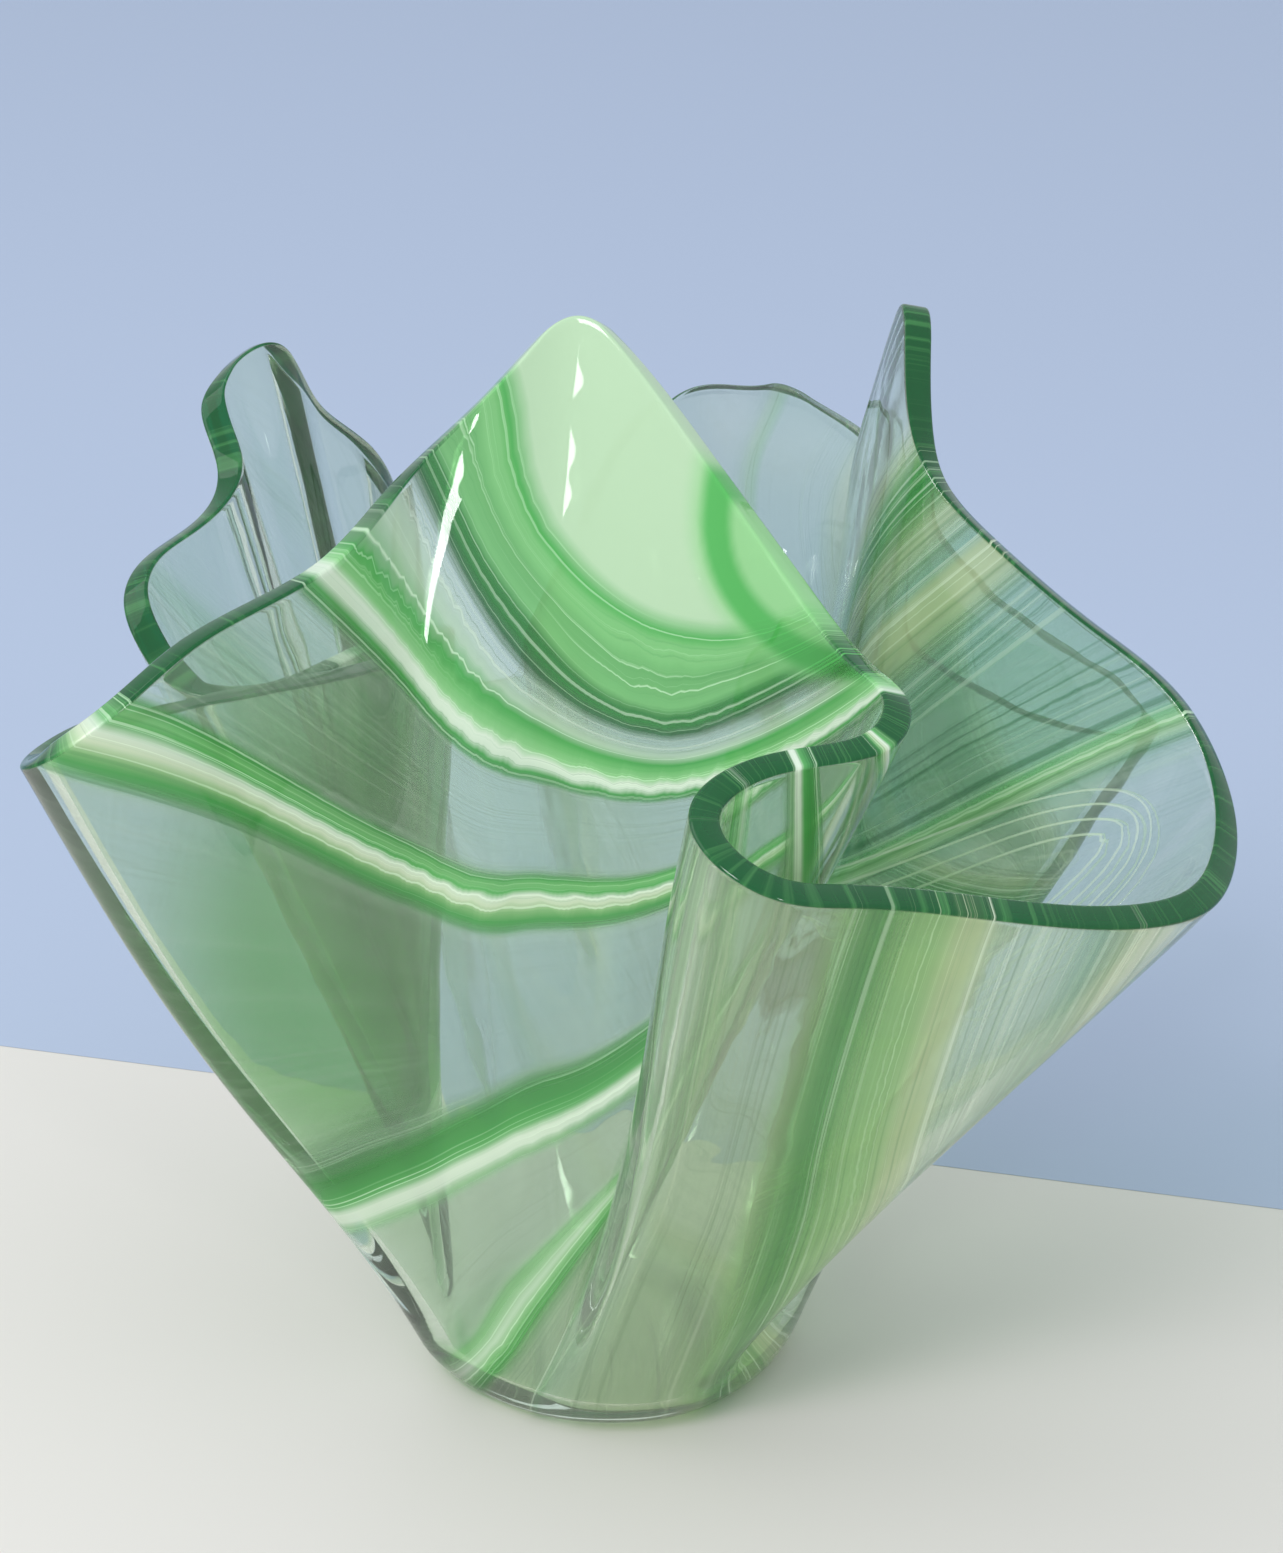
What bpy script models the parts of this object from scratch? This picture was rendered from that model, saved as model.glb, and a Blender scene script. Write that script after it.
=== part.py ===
"""Handkerchief vase: one square sheet of streaky green glass, sagged over a round form.

Units are metres, +Z is up and the middle of the foot stands on the origin. The front is -Y.
"""

import math

import bmesh
import bpy
import numpy as np

MM = 0.001

# Whole vase
VASE_WIDTH = 135.0 * MM
VASE_DEPTH = 140.0 * MM
VASE_HEIGHT = 125.0 * MM

# Sheet
SHEET_SIDE = 222.0 * MM
SHEET_THICKNESS = 3.2 * MM
TIP_ROUNDING = 5.0 * MM

# Foot
FOOT_CORNER_RADIUS = 20.0 * MM
FOOT_BEND_REACH = 4.0 * MM

# Folds
FOLD_SOFTENING = 18.0 * MM
SOFTENING_SAMPLES = 17
RATE_SOFTENING = 6.0 * MM

# Mesh
COLUMN_LENGTH = 8.0 * MM
COLUMN_TURN = math.radians(24.0)
BEND_ROWS = 3
WALL_ROWS = 7
RIM_SAMPLES = 4000

# Look
GLASS_COLOUR = (0.36, 0.62, 0.38, 1.0)
GLASS_ROUGHNESS = 0.03
GLASS_METALLIC = 0.0

# Rim of the sheet's middle surface, side by side, each from its own tip. It is drawn on a grid
# that divides the vase's width, depth and height into these steps.
GRID_STEPS = (135.0, 140.0, 125.0)
# Front tip to right tip: down to the pleat, round the front lobe and up the right lobe.
FRONT_TO_RIGHT = (
    (-3.5, 10.0, 124.0),
    (10.5, -3.0, 113.0),
    (21.0, -18.0, 102.0),
    (27.5, -29.0, 97.0),
    (30.5, -36.0, 95.5),
    (29.0, -41.0, 94.0),
    (19.0, -45.5, 93.0),
    (13.5, -48.0, 92.0),
    (10.5, -52.0, 90.5),
    (12.0, -58.0, 88.0),
    (17.0, -60.5, 85.5),
    (25.0, -57.0, 83.0),
    (40.0, -51.0, 79.0),
    (54.0, -45.0, 75.5),
    (62.5, -38.0, 74.5),
    (66.0, -30.0, 75.5),
    (67.0, -21.0, 79.0),
    (63.0, -13.0, 87.0),
    (54.0, -7.0, 93.5),
    (43.0, -1.0, 101.5),
    (37.0, 3.0, 107.5),
    (35.0, 9.0, 115.0),
)
# Right tip to back tip: one valley, the back right lobe and a shallow valley.
RIGHT_TO_BACK = (
    (35.0, 18.0, 123.0),
    (32.5, 28.0, 111.0),
    (30.5, 36.0, 98.0),
    (30.5, 41.0, 86.0),
    (34.0, 45.0, 76.0),
    (42.0, 49.0, 68.0),
    (54.0, 55.0, 60.0),
    (65.0, 59.0, 55.5),
    (71.0, 67.0, 54.5),
    (66.0, 75.5, 57.5),
    (56.0, 75.5, 64.0),
    (46.0, 69.0, 74.0),
    (38.0, 59.0, 85.0),
    (32.0, 56.0, 95.0),
)
# Back tip to left tip: one valley and the back left lobe.
BACK_TO_LEFT = (
    (22.0, 66.0, 99.0),
    (14.0, 57.0, 102.0),
    (7.0, 46.0, 103.5),
    (1.0, 36.0, 98.0),
    (-3.5, 31.5, 90.0),
    (-7.5, 36.0, 81.0),
    (-10.0, 51.0, 69.0),
    (-14.0, 68.0, 60.0),
    (-21.0, 77.0, 57.0),
    (-28.0, 73.0, 62.0),
    (-29.0, 64.0, 73.0),
    (-27.5, 56.0, 86.0),
    (-31.0, 50.0, 97.5),
    (-37.0, 46.0, 104.5),
)
# Left tip to front tip: the curled edge, the left lobe, a deep valley and the pointed lobe.
LEFT_TO_FRONT = (
    (-41.5, 42.0, 112.0),
    (-45.0, 40.0, 110.0),
    (-46.8, 36.5, 107.0),
    (-45.7, 33.0, 104.0),
    (-44.3, 28.5, 101.0),
    (-45.0, 24.5, 98.5),
    (-48.0, 21.0, 96.0),
    (-52.5, 17.5, 93.5),
    (-54.0, 12.5, 91.0),
    (-51.5, 7.0, 86.5),
    (-47.0, 3.5, 83.0),
    (-41.0, 4.0, 82.5),
    (-33.0, 9.0, 83.5),
    (-25.5, 13.5, 85.5),
    (-19.8, 12.0, 87.0),
    (-19.3, 6.5, 88.0),
    (-24.0, 1.0, 87.5),
    (-34.5, -4.0, 86.5),
    (-45.0, -8.5, 86.0),
    (-52.0, -13.5, 86.0),
    (-57.5, -18.0, 85.5),
    (-61.0, -22.5, 84.5),
    (-60.0, -27.0, 86.0),
    (-53.5, -27.0, 90.5),
    (-44.5, -20.5, 96.5),
    (-30.0, -9.0, 102.0),
    (-22.5, -1.0, 108.5),
    (-12.0, 6.0, 117.5),
)
SIDES = (FRONT_TO_RIGHT, RIGHT_TO_BACK, BACK_TO_LEFT, LEFT_TO_FRONT)
FIRST_TIP_ANGLE = math.radians(-135.0)

# Curls of the wall between foot and rim: each is widest at one rim point and pushes the wall
# between two flat distances from the sheet's middle.
POINTED_LOBE_ROW = 21
CURL_HALF_WIDTH = 60.0 * MM
BACK_TIP_PUSH = (-2.0 * MM, -14.0 * MM, 20.0 * MM)
BACK_TIP_PUSH_START = 60.0 * MM
BACK_TIP_PUSH_END = 165.0 * MM
POINTED_LOBE_PUSH = (-3.0 * MM, 0.0, -2.0 * MM)
POINTED_LOBE_PUSH_END = 125.0 * MM
FRONT_TIP_PUSH = (0.0, -10.0 * MM, 0.0)
FRONT_TIP_PUSH_END = 175.0 * MM
CURLS = (
    (BACK_TO_LEFT[0], BACK_TIP_PUSH, BACK_TIP_PUSH_START, BACK_TIP_PUSH_END),
    (
        LEFT_TO_FRONT[POINTED_LOBE_ROW],
        POINTED_LOBE_PUSH,
        FOOT_CORNER_RADIUS,
        POINTED_LOBE_PUSH_END,
    ),
    (FRONT_TO_RIGHT[0], FRONT_TIP_PUSH, FOOT_CORNER_RADIUS, FRONT_TIP_PUSH_END),
)


def closed_spline(knots, values, total):
    """Cubic curve through the values, closed on itself, as a function of rim length."""
    count = len(knots)
    ends = np.append(knots, total)
    points = np.vstack([values, values[:1]])
    gaps = np.diff(ends)
    slopes = np.diff(points, axis=0) / gaps[:, None]
    matrix = np.zeros((count, count))
    for i in range(count):
        matrix[i, i - 1] += gaps[i - 1]
        matrix[i, i] += 2.0 * (gaps[i - 1] + gaps[i])
        matrix[i, (i + 1) % count] += gaps[i]
    bends = np.linalg.solve(matrix, 6.0 * (slopes - np.roll(slopes, 1, axis=0)))
    bends = np.vstack([bends, bends[:1]])

    def at(length):
        length = np.asarray(length) % total
        i = np.clip(np.searchsorted(ends, length, side="right") - 1, 0, count - 1)
        gap = gaps[i][..., None]
        after = (length - ends[i])[..., None]
        before = gap - after
        curve = (bends[i] * before**3 + bends[i + 1] * after**3) / (6.0 * gap)
        curve += (points[i] / gap - bends[i] * gap / 6.0) * before
        curve += (points[i + 1] / gap - bends[i + 1] * gap / 6.0) * after
        return curve

    return at


def softened(function, width):
    """The function averaged along the rim under a bell of the given width."""
    offsets = np.linspace(-2.0, 2.0, SOFTENING_SAMPLES)
    weights = np.exp(-(offsets**2))
    weights /= weights.sum()

    def at(length):
        return sum(w * function(length + o * width) for o, w in zip(offsets, weights))

    return at


class Sheet:
    """Middle surface of the sagged sheet, by rim length and flat distance from its middle."""

    def __init__(self):
        drawn = [row for side in SIDES for row in side]
        unit = np.array((VASE_WIDTH, VASE_DEPTH, VASE_HEIGHT)) / np.array(GRID_STEPS)
        rows = np.array(drawn) * unit
        steps = np.linalg.norm(np.diff(np.vstack([rows, rows[:1]]), axis=0), axis=1)
        marks = np.append(0.0, np.cumsum(steps))
        self.total = marks[-1]
        self.tips = marks[np.append(0, np.cumsum([len(side) for side in SIDES]))]
        self.turns = softened(self.sharp_turns, RATE_SOFTENING)
        self.curls = []
        for point, push, start, end in CURLS:
            self.curls.append((marks[drawn.index(point)], np.array(push), start, end))
        angles = self.angle(marks[:-1])
        reaches = self.reach(angles)
        leans = rows - self.curl(marks[:-1], reaches) - self.foot_corner(angles)
        leans /= (reaches - FOOT_CORNER_RADIUS)[:, None]
        self.lean = closed_spline(marks[:-1], leans, self.total)
        self.soft_lean = softened(self.lean, FOLD_SOFTENING)

    def sharp_turns(self, length):
        """Sides of the square passed at this rim length, as a running number."""
        rounds = np.floor(length / self.total)
        part = length - rounds * self.total
        return 4.0 * rounds + np.interp(part, self.tips, np.arange(5.0))

    def angle(self, length):
        """Direction from the flat sheet's middle."""
        turns = self.turns(np.asarray(length, float))
        side = np.floor(turns)
        across = 2.0 * (turns - side) - 1.0
        return FIRST_TIP_ANGLE + math.pi / 4.0 + side * math.pi / 2.0 + np.arctan(across)

    def reach(self, angle):
        """Distance from the flat sheet's middle to its edge, with rounded tips."""
        across = np.abs(np.cos(angle))
        along = np.abs(np.sin(angle))
        straight = SHEET_SIDE / 2.0 / np.maximum(across, along)
        centre = SHEET_SIDE / 2.0 - TIP_ROUNDING
        half = centre * (across + along)
        root = np.maximum(half**2 - 2.0 * centre**2 + TIP_ROUNDING**2, 0.0)
        in_tip = straight * np.minimum(across, along) > centre
        return np.where(in_tip, half + np.sqrt(root), straight)

    def foot_corner(self, angle):
        x = FOOT_CORNER_RADIUS * np.cos(angle)
        y = FOOT_CORNER_RADIUS * np.sin(angle)
        return np.stack([x, y, np.full_like(x, SHEET_THICKNESS / 2.0)], axis=-1)

    def curl(self, length, distance):
        push = np.zeros(np.shape(length) + (3,))
        for mark, vector, start, end in self.curls:
            away = np.abs((length - mark + self.total / 2.0) % self.total - self.total / 2.0)
            beside = np.cos(math.pi / 2.0 * np.minimum(away / CURL_HALF_WIDTH, 1.0)) ** 2
            up = np.sin(math.pi * np.clip((distance - start) / (end - start), 0.0, 1.0)) ** 2
            push = push + (beside * up)[..., None] * vector
        return push

    def wall(self, length, distance):
        """Point of the wall at a flat distance beyond the foot's corner."""
        rise = distance - FOOT_CORNER_RADIUS
        part = np.clip(rise / (SHEET_SIDE / 2.0 - FOOT_CORNER_RADIUS), 0.0, 1.0)
        fold = (part**2 * (3.0 - 2.0 * part))[..., None]
        lean = self.soft_lean(length) * (1.0 - fold) + self.lean(length) * fold
        point = self.foot_corner(self.angle(length)) + rise[..., None] * lean
        return point + self.curl(length, distance)

    def rings(self, length):
        """Rings of points from the flat foot to the rim."""
        angle = self.angle(length)
        corner = self.foot_corner(angle)
        inward = np.stack([-np.cos(angle), -np.sin(angle), np.zeros_like(angle)], axis=-1)
        flat = corner + FOOT_BEND_REACH * inward
        start = np.full_like(length, FOOT_CORNER_RADIUS + FOOT_BEND_REACH)
        low_wall = self.wall(length, start)
        found = []
        for row in range(BEND_ROWS):
            part = row / BEND_ROWS
            bend = (1.0 - part) ** 2 * flat + 2.0 * part * (1.0 - part) * corner
            found.append(bend + part**2 * low_wall)
        end = self.reach(angle)
        for row in range(WALL_ROWS + 1):
            part = row / WALL_ROWS
            found.append(self.wall(length, start + part * (end - start)))
        return found

    def columns(self):
        """Rim lengths of the mesh columns, closer together where the rim turns."""
        length = np.linspace(0.0, self.total, RIM_SAMPLES + 1)
        rim = self.wall(length, self.reach(self.angle(length)))
        step = np.diff(rim, axis=0)
        size = np.linalg.norm(step, axis=1)
        heading = step / size[:, None]
        cosine = np.sum(heading * np.roll(heading, -1, axis=0), axis=1)
        turn = np.arccos(np.clip(cosine, -1.0, 1.0))
        weight = np.append(0.0, np.cumsum(size / COLUMN_LENGTH + turn / COLUMN_TURN))
        count = round(weight[-1])
        return np.interp(np.arange(count) * weight[-1] / count, weight, length)


def clear_scene():
    for obj in list(bpy.data.objects):
        bpy.data.objects.remove(obj, do_unlink=True)


def glass_material():
    material = bpy.data.materials.new("streaky_glass")
    material.use_nodes = True
    shader = material.node_tree.nodes["Principled BSDF"]
    shader.inputs["Base Color"].default_value = GLASS_COLOUR
    shader.inputs["Roughness"].default_value = GLASS_ROUGHNESS
    shader.inputs["Metallic"].default_value = GLASS_METALLIC
    shader.inputs["Transmission Weight"].default_value = 1.0
    return material


def build_sheet(collection):
    sheet = Sheet()
    length = sheet.columns()
    mesh = bpy.data.meshes.new("glass_sheet")
    work = bmesh.new()
    rings = [[work.verts.new(point) for point in ring] for ring in sheet.rings(length)]
    centre = work.verts.new((0.0, 0.0, SHEET_THICKNESS / 2.0))
    count = len(length)
    for i in range(count):
        following = (i + 1) % count
        work.faces.new((centre, rings[0][following], rings[0][i]))
        for low, high in zip(rings, rings[1:]):
            work.faces.new((low[i], low[following], high[following], high[i]))
    bmesh.ops.recalc_face_normals(work, faces=work.faces)
    work.to_mesh(mesh)
    work.free()
    mesh.shade_smooth()
    mesh.materials.append(glass_material())
    obj = bpy.data.objects.new("glass_sheet", mesh)
    collection.objects.link(obj)
    thickness = obj.modifiers.new("thickness", "SOLIDIFY")
    thickness.thickness = SHEET_THICKNESS
    thickness.offset = 0.0
    return obj


def main():
    clear_scene()
    collection = bpy.data.collections.new("handkerchief_vase")
    bpy.context.scene.collection.children.link(collection)
    build_sheet(collection)


main()
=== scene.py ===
"""Handkerchief vase of streaky green glass, dressed for its portrait.

Metres, +Z up. The vase is one sheet of glass, so the scene has one piece: the sagged sheet with
rounded cut edges, and a glass material whose streaks follow curves drawn on the flat sheet.
"""

import math

import bmesh
import bpy
import numpy as np
from mathutils import Euler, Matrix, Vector


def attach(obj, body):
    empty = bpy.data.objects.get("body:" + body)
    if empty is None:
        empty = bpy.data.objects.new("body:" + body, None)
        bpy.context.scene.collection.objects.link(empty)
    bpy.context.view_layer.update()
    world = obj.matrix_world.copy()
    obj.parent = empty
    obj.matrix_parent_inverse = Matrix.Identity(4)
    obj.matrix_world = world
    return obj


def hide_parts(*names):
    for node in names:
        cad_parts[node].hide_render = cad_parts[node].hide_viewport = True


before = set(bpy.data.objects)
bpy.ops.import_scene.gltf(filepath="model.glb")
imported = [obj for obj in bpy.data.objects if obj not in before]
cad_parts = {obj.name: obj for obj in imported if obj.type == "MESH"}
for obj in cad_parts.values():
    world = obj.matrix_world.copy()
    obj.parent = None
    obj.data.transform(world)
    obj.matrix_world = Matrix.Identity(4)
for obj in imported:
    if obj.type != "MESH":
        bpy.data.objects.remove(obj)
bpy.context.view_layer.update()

MM = 0.001

# Sheet, as in the part's source
VASE_WIDTH = 135.0 * MM
VASE_DEPTH = 140.0 * MM
VASE_HEIGHT = 125.0 * MM
SHEET_SIDE = 222.0 * MM
SHEET_THICKNESS = 3.2 * MM
TIP_ROUNDING = 5.0 * MM
FOOT_CORNER_RADIUS = 20.0 * MM
FOOT_BEND_REACH = 4.0 * MM
FOLD_SOFTENING = 18.0 * MM
SOFTENING_SAMPLES = 17
RATE_SOFTENING = 6.0 * MM

# Mesh
COLUMN_LENGTH = 1.85 * MM
COLUMN_TURN = math.radians(5.0)
RIM_SAMPLES = 8000
FLAT_ROWS = 5
BEND_ROWS = 8
WALL_ROWS = 30
EDGE_CORNER_RADIUS = 0.45 * MM
EDGE_CORNER_ROWS = 3
RIM_ROW_INSETS = (1.6 * MM, 0.5 * MM)
# Distance from the cut edge written at the foot's two middle points: any that isn't near it.
POLE_INSETS = (9.0, 9.0)

# Rim of the sheet's middle surface, side by side, each from its own tip. It is drawn on a grid
# that divides the vase's width, depth and height into these steps.
GRID_STEPS = (135.0, 140.0, 125.0)
# Front tip to right tip: down to the pleat, round the front lobe and up the right lobe.
FRONT_TO_RIGHT = (
    (-3.5, 10.0, 124.0),
    (10.5, -3.0, 113.0),
    (21.0, -18.0, 102.0),
    (27.5, -29.0, 97.0),
    (30.5, -36.0, 95.5),
    (29.0, -41.0, 94.0),
    (19.0, -45.5, 93.0),
    (13.5, -48.0, 92.0),
    (10.5, -52.0, 90.5),
    (12.0, -58.0, 88.0),
    (17.0, -60.5, 85.5),
    (25.0, -57.0, 83.0),
    (40.0, -51.0, 79.0),
    (54.0, -45.0, 75.5),
    (62.5, -38.0, 74.5),
    (66.0, -30.0, 75.5),
    (67.0, -21.0, 79.0),
    (63.0, -13.0, 87.0),
    (54.0, -7.0, 93.5),
    (43.0, -1.0, 101.5),
    (37.0, 3.0, 107.5),
    (35.0, 9.0, 115.0),
)
# Right tip to back tip: one valley, the back right lobe and a shallow valley.
RIGHT_TO_BACK = (
    (35.0, 18.0, 123.0),
    (32.5, 28.0, 111.0),
    (30.5, 36.0, 98.0),
    (30.5, 41.0, 86.0),
    (34.0, 45.0, 76.0),
    (42.0, 49.0, 68.0),
    (54.0, 55.0, 60.0),
    (65.0, 59.0, 55.5),
    (71.0, 67.0, 54.5),
    (66.0, 75.5, 57.5),
    (56.0, 75.5, 64.0),
    (46.0, 69.0, 74.0),
    (38.0, 59.0, 85.0),
    (32.0, 56.0, 95.0),
)
# Back tip to left tip: one valley and the back left lobe.
BACK_TO_LEFT = (
    (22.0, 66.0, 99.0),
    (14.0, 57.0, 102.0),
    (7.0, 46.0, 103.5),
    (1.0, 36.0, 98.0),
    (-3.5, 31.5, 90.0),
    (-7.5, 36.0, 81.0),
    (-10.0, 51.0, 69.0),
    (-14.0, 68.0, 60.0),
    (-21.0, 77.0, 57.0),
    (-28.0, 73.0, 62.0),
    (-29.0, 64.0, 73.0),
    (-27.5, 56.0, 86.0),
    (-31.0, 50.0, 97.5),
    (-37.0, 46.0, 104.5),
)
# Left tip to front tip: the curled edge, the left lobe, a deep valley and the pointed lobe.
LEFT_TO_FRONT = (
    (-41.5, 42.0, 112.0),
    (-45.0, 40.0, 110.0),
    (-46.8, 36.5, 107.0),
    (-45.7, 33.0, 104.0),
    (-44.3, 28.5, 101.0),
    (-45.0, 24.5, 98.5),
    (-48.0, 21.0, 96.0),
    (-52.5, 17.5, 93.5),
    (-54.0, 12.5, 91.0),
    (-51.5, 7.0, 86.5),
    (-47.0, 3.5, 83.0),
    (-41.0, 4.0, 82.5),
    (-33.0, 9.0, 83.5),
    (-25.5, 13.5, 85.5),
    (-19.8, 12.0, 87.0),
    (-19.3, 6.5, 88.0),
    (-24.0, 1.0, 87.5),
    (-34.5, -4.0, 86.5),
    (-45.0, -8.5, 86.0),
    (-52.0, -13.5, 86.0),
    (-57.5, -18.0, 85.5),
    (-61.0, -22.5, 84.5),
    (-60.0, -27.0, 86.0),
    (-53.5, -27.0, 90.5),
    (-44.5, -20.5, 96.5),
    (-30.0, -9.0, 102.0),
    (-22.5, -1.0, 108.5),
    (-12.0, 6.0, 117.5),
)
SIDES = (FRONT_TO_RIGHT, RIGHT_TO_BACK, BACK_TO_LEFT, LEFT_TO_FRONT)
FIRST_TIP_ANGLE = math.radians(-135.0)

# Curls of the wall between foot and rim: each is widest at one rim point and pushes the wall
# between two flat distances from the sheet's middle.
POINTED_LOBE_ROW = 21
CURL_HALF_WIDTH = 60.0 * MM
BACK_TIP_PUSH = (-2.0 * MM, -14.0 * MM, 20.0 * MM)
BACK_TIP_PUSH_START = 60.0 * MM
BACK_TIP_PUSH_END = 165.0 * MM
POINTED_LOBE_PUSH = (-3.0 * MM, 0.0, -2.0 * MM)
POINTED_LOBE_PUSH_END = 125.0 * MM
FRONT_TIP_PUSH = (0.0, -10.0 * MM, 0.0)
FRONT_TIP_PUSH_END = 175.0 * MM
CURLS = (
    (BACK_TO_LEFT[0], BACK_TIP_PUSH, BACK_TIP_PUSH_START, BACK_TIP_PUSH_END),
    (
        LEFT_TO_FRONT[POINTED_LOBE_ROW],
        POINTED_LOBE_PUSH,
        FOOT_CORNER_RADIUS,
        POINTED_LOBE_PUSH_END,
    ),
    (FRONT_TO_RIGHT[0], FRONT_TIP_PUSH, FOOT_CORNER_RADIUS, FRONT_TIP_PUSH_END),
)


def closed_spline(knots, values, total):
    """Cubic curve through the values, closed on itself, as a function of rim length."""
    count = len(knots)
    ends = np.append(knots, total)
    points = np.vstack([values, values[:1]])
    gaps = np.diff(ends)
    slopes = np.diff(points, axis=0) / gaps[:, None]
    matrix = np.zeros((count, count))
    for i in range(count):
        matrix[i, i - 1] += gaps[i - 1]
        matrix[i, i] += 2.0 * (gaps[i - 1] + gaps[i])
        matrix[i, (i + 1) % count] += gaps[i]
    bends = np.linalg.solve(matrix, 6.0 * (slopes - np.roll(slopes, 1, axis=0)))
    bends = np.vstack([bends, bends[:1]])

    def at(length):
        length = np.asarray(length) % total
        i = np.clip(np.searchsorted(ends, length, side="right") - 1, 0, count - 1)
        gap = gaps[i][..., None]
        after = (length - ends[i])[..., None]
        before = gap - after
        curve = (bends[i] * before**3 + bends[i + 1] * after**3) / (6.0 * gap)
        curve += (points[i] / gap - bends[i] * gap / 6.0) * before
        curve += (points[i + 1] / gap - bends[i + 1] * gap / 6.0) * after
        return curve

    return at


def softened(function, width):
    """The function averaged along the rim under a bell of the given width."""
    offsets = np.linspace(-2.0, 2.0, SOFTENING_SAMPLES)
    weights = np.exp(-(offsets**2))
    weights /= weights.sum()

    def at(length):
        return sum(w * function(length + o * width) for o, w in zip(offsets, weights))

    return at


class Sheet:
    """Middle surface of the sagged sheet, by rim length and flat distance from its middle."""

    def __init__(self):
        drawn = [row for side in SIDES for row in side]
        grid_step = np.array((VASE_WIDTH, VASE_DEPTH, VASE_HEIGHT)) / np.array(GRID_STEPS)
        rows = np.array(drawn) * grid_step
        steps = np.linalg.norm(np.diff(np.vstack([rows, rows[:1]]), axis=0), axis=1)
        marks = np.append(0.0, np.cumsum(steps))
        self.total = marks[-1]
        self.tips = marks[np.append(0, np.cumsum([len(side) for side in SIDES]))]
        self.turns = softened(self.sharp_turns, RATE_SOFTENING)
        self.curls = []
        for point, push, start, end in CURLS:
            self.curls.append((marks[drawn.index(point)], np.array(push), start, end))
        angles = self.angle(marks[:-1])
        reaches = self.reach(angles)
        leans = rows - self.curl(marks[:-1], reaches) - self.foot_corner(angles)
        leans /= (reaches - FOOT_CORNER_RADIUS)[:, None]
        self.lean = closed_spline(marks[:-1], leans, self.total)
        self.soft_lean = softened(self.lean, FOLD_SOFTENING)

    def sharp_turns(self, length):
        """Sides of the square passed at this rim length, as a running number."""
        rounds = np.floor(length / self.total)
        part = length - rounds * self.total
        return 4.0 * rounds + np.interp(part, self.tips, np.arange(5.0))

    def angle(self, length):
        """Direction from the flat sheet's middle."""
        turns = self.turns(np.asarray(length, float))
        side = np.floor(turns)
        across = 2.0 * (turns - side) - 1.0
        return FIRST_TIP_ANGLE + math.pi / 4.0 + side * math.pi / 2.0 + np.arctan(across)

    def reach(self, angle):
        """Distance from the flat sheet's middle to its edge, with rounded tips."""
        across = np.abs(np.cos(angle))
        along = np.abs(np.sin(angle))
        straight = SHEET_SIDE / 2.0 / np.maximum(across, along)
        centre = SHEET_SIDE / 2.0 - TIP_ROUNDING
        half = centre * (across + along)
        root = np.maximum(half**2 - 2.0 * centre**2 + TIP_ROUNDING**2, 0.0)
        in_tip = straight * np.minimum(across, along) > centre
        return np.where(in_tip, half + np.sqrt(root), straight)

    def foot_corner(self, angle):
        x = FOOT_CORNER_RADIUS * np.cos(angle)
        y = FOOT_CORNER_RADIUS * np.sin(angle)
        return np.stack([x, y, np.full_like(x, SHEET_THICKNESS / 2.0)], axis=-1)

    def curl(self, length, distance):
        push = np.zeros(np.shape(length) + (3,))
        for mark, vector, start, end in self.curls:
            away = np.abs((length - mark + self.total / 2.0) % self.total - self.total / 2.0)
            beside = np.cos(math.pi / 2.0 * np.minimum(away / CURL_HALF_WIDTH, 1.0)) ** 2
            up = np.sin(math.pi * np.clip((distance - start) / (end - start), 0.0, 1.0)) ** 2
            push = push + (beside * up)[..., None] * vector
        return push

    def wall(self, length, distance):
        """Point of the wall at a flat distance beyond the foot's corner."""
        rise = distance - FOOT_CORNER_RADIUS
        part = np.clip(rise / (SHEET_SIDE / 2.0 - FOOT_CORNER_RADIUS), 0.0, 1.0)
        fold = (part**2 * (3.0 - 2.0 * part))[..., None]
        lean = self.soft_lean(length) * (1.0 - fold) + self.lean(length) * fold
        point = self.foot_corner(self.angle(length)) + rise[..., None] * lean
        return point + self.curl(length, distance)

    def columns(self):
        """Rim lengths of the mesh columns, closer together where the rim turns."""
        length = np.linspace(0.0, self.total, RIM_SAMPLES + 1)
        rim = self.wall(length, self.reach(self.angle(length)))
        step = np.diff(rim, axis=0)
        size = np.linalg.norm(step, axis=1)
        heading = step / size[:, None]
        cosine = np.sum(heading * np.roll(heading, -1, axis=0), axis=1)
        turn = np.arccos(np.clip(cosine, -1.0, 1.0))
        weight = np.append(0.0, np.cumsum(size / COLUMN_LENGTH + turn / COLUMN_TURN))
        count = round(weight[-1])
        return np.interp(np.arange(count) * weight[-1] / count, weight, length)


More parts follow.
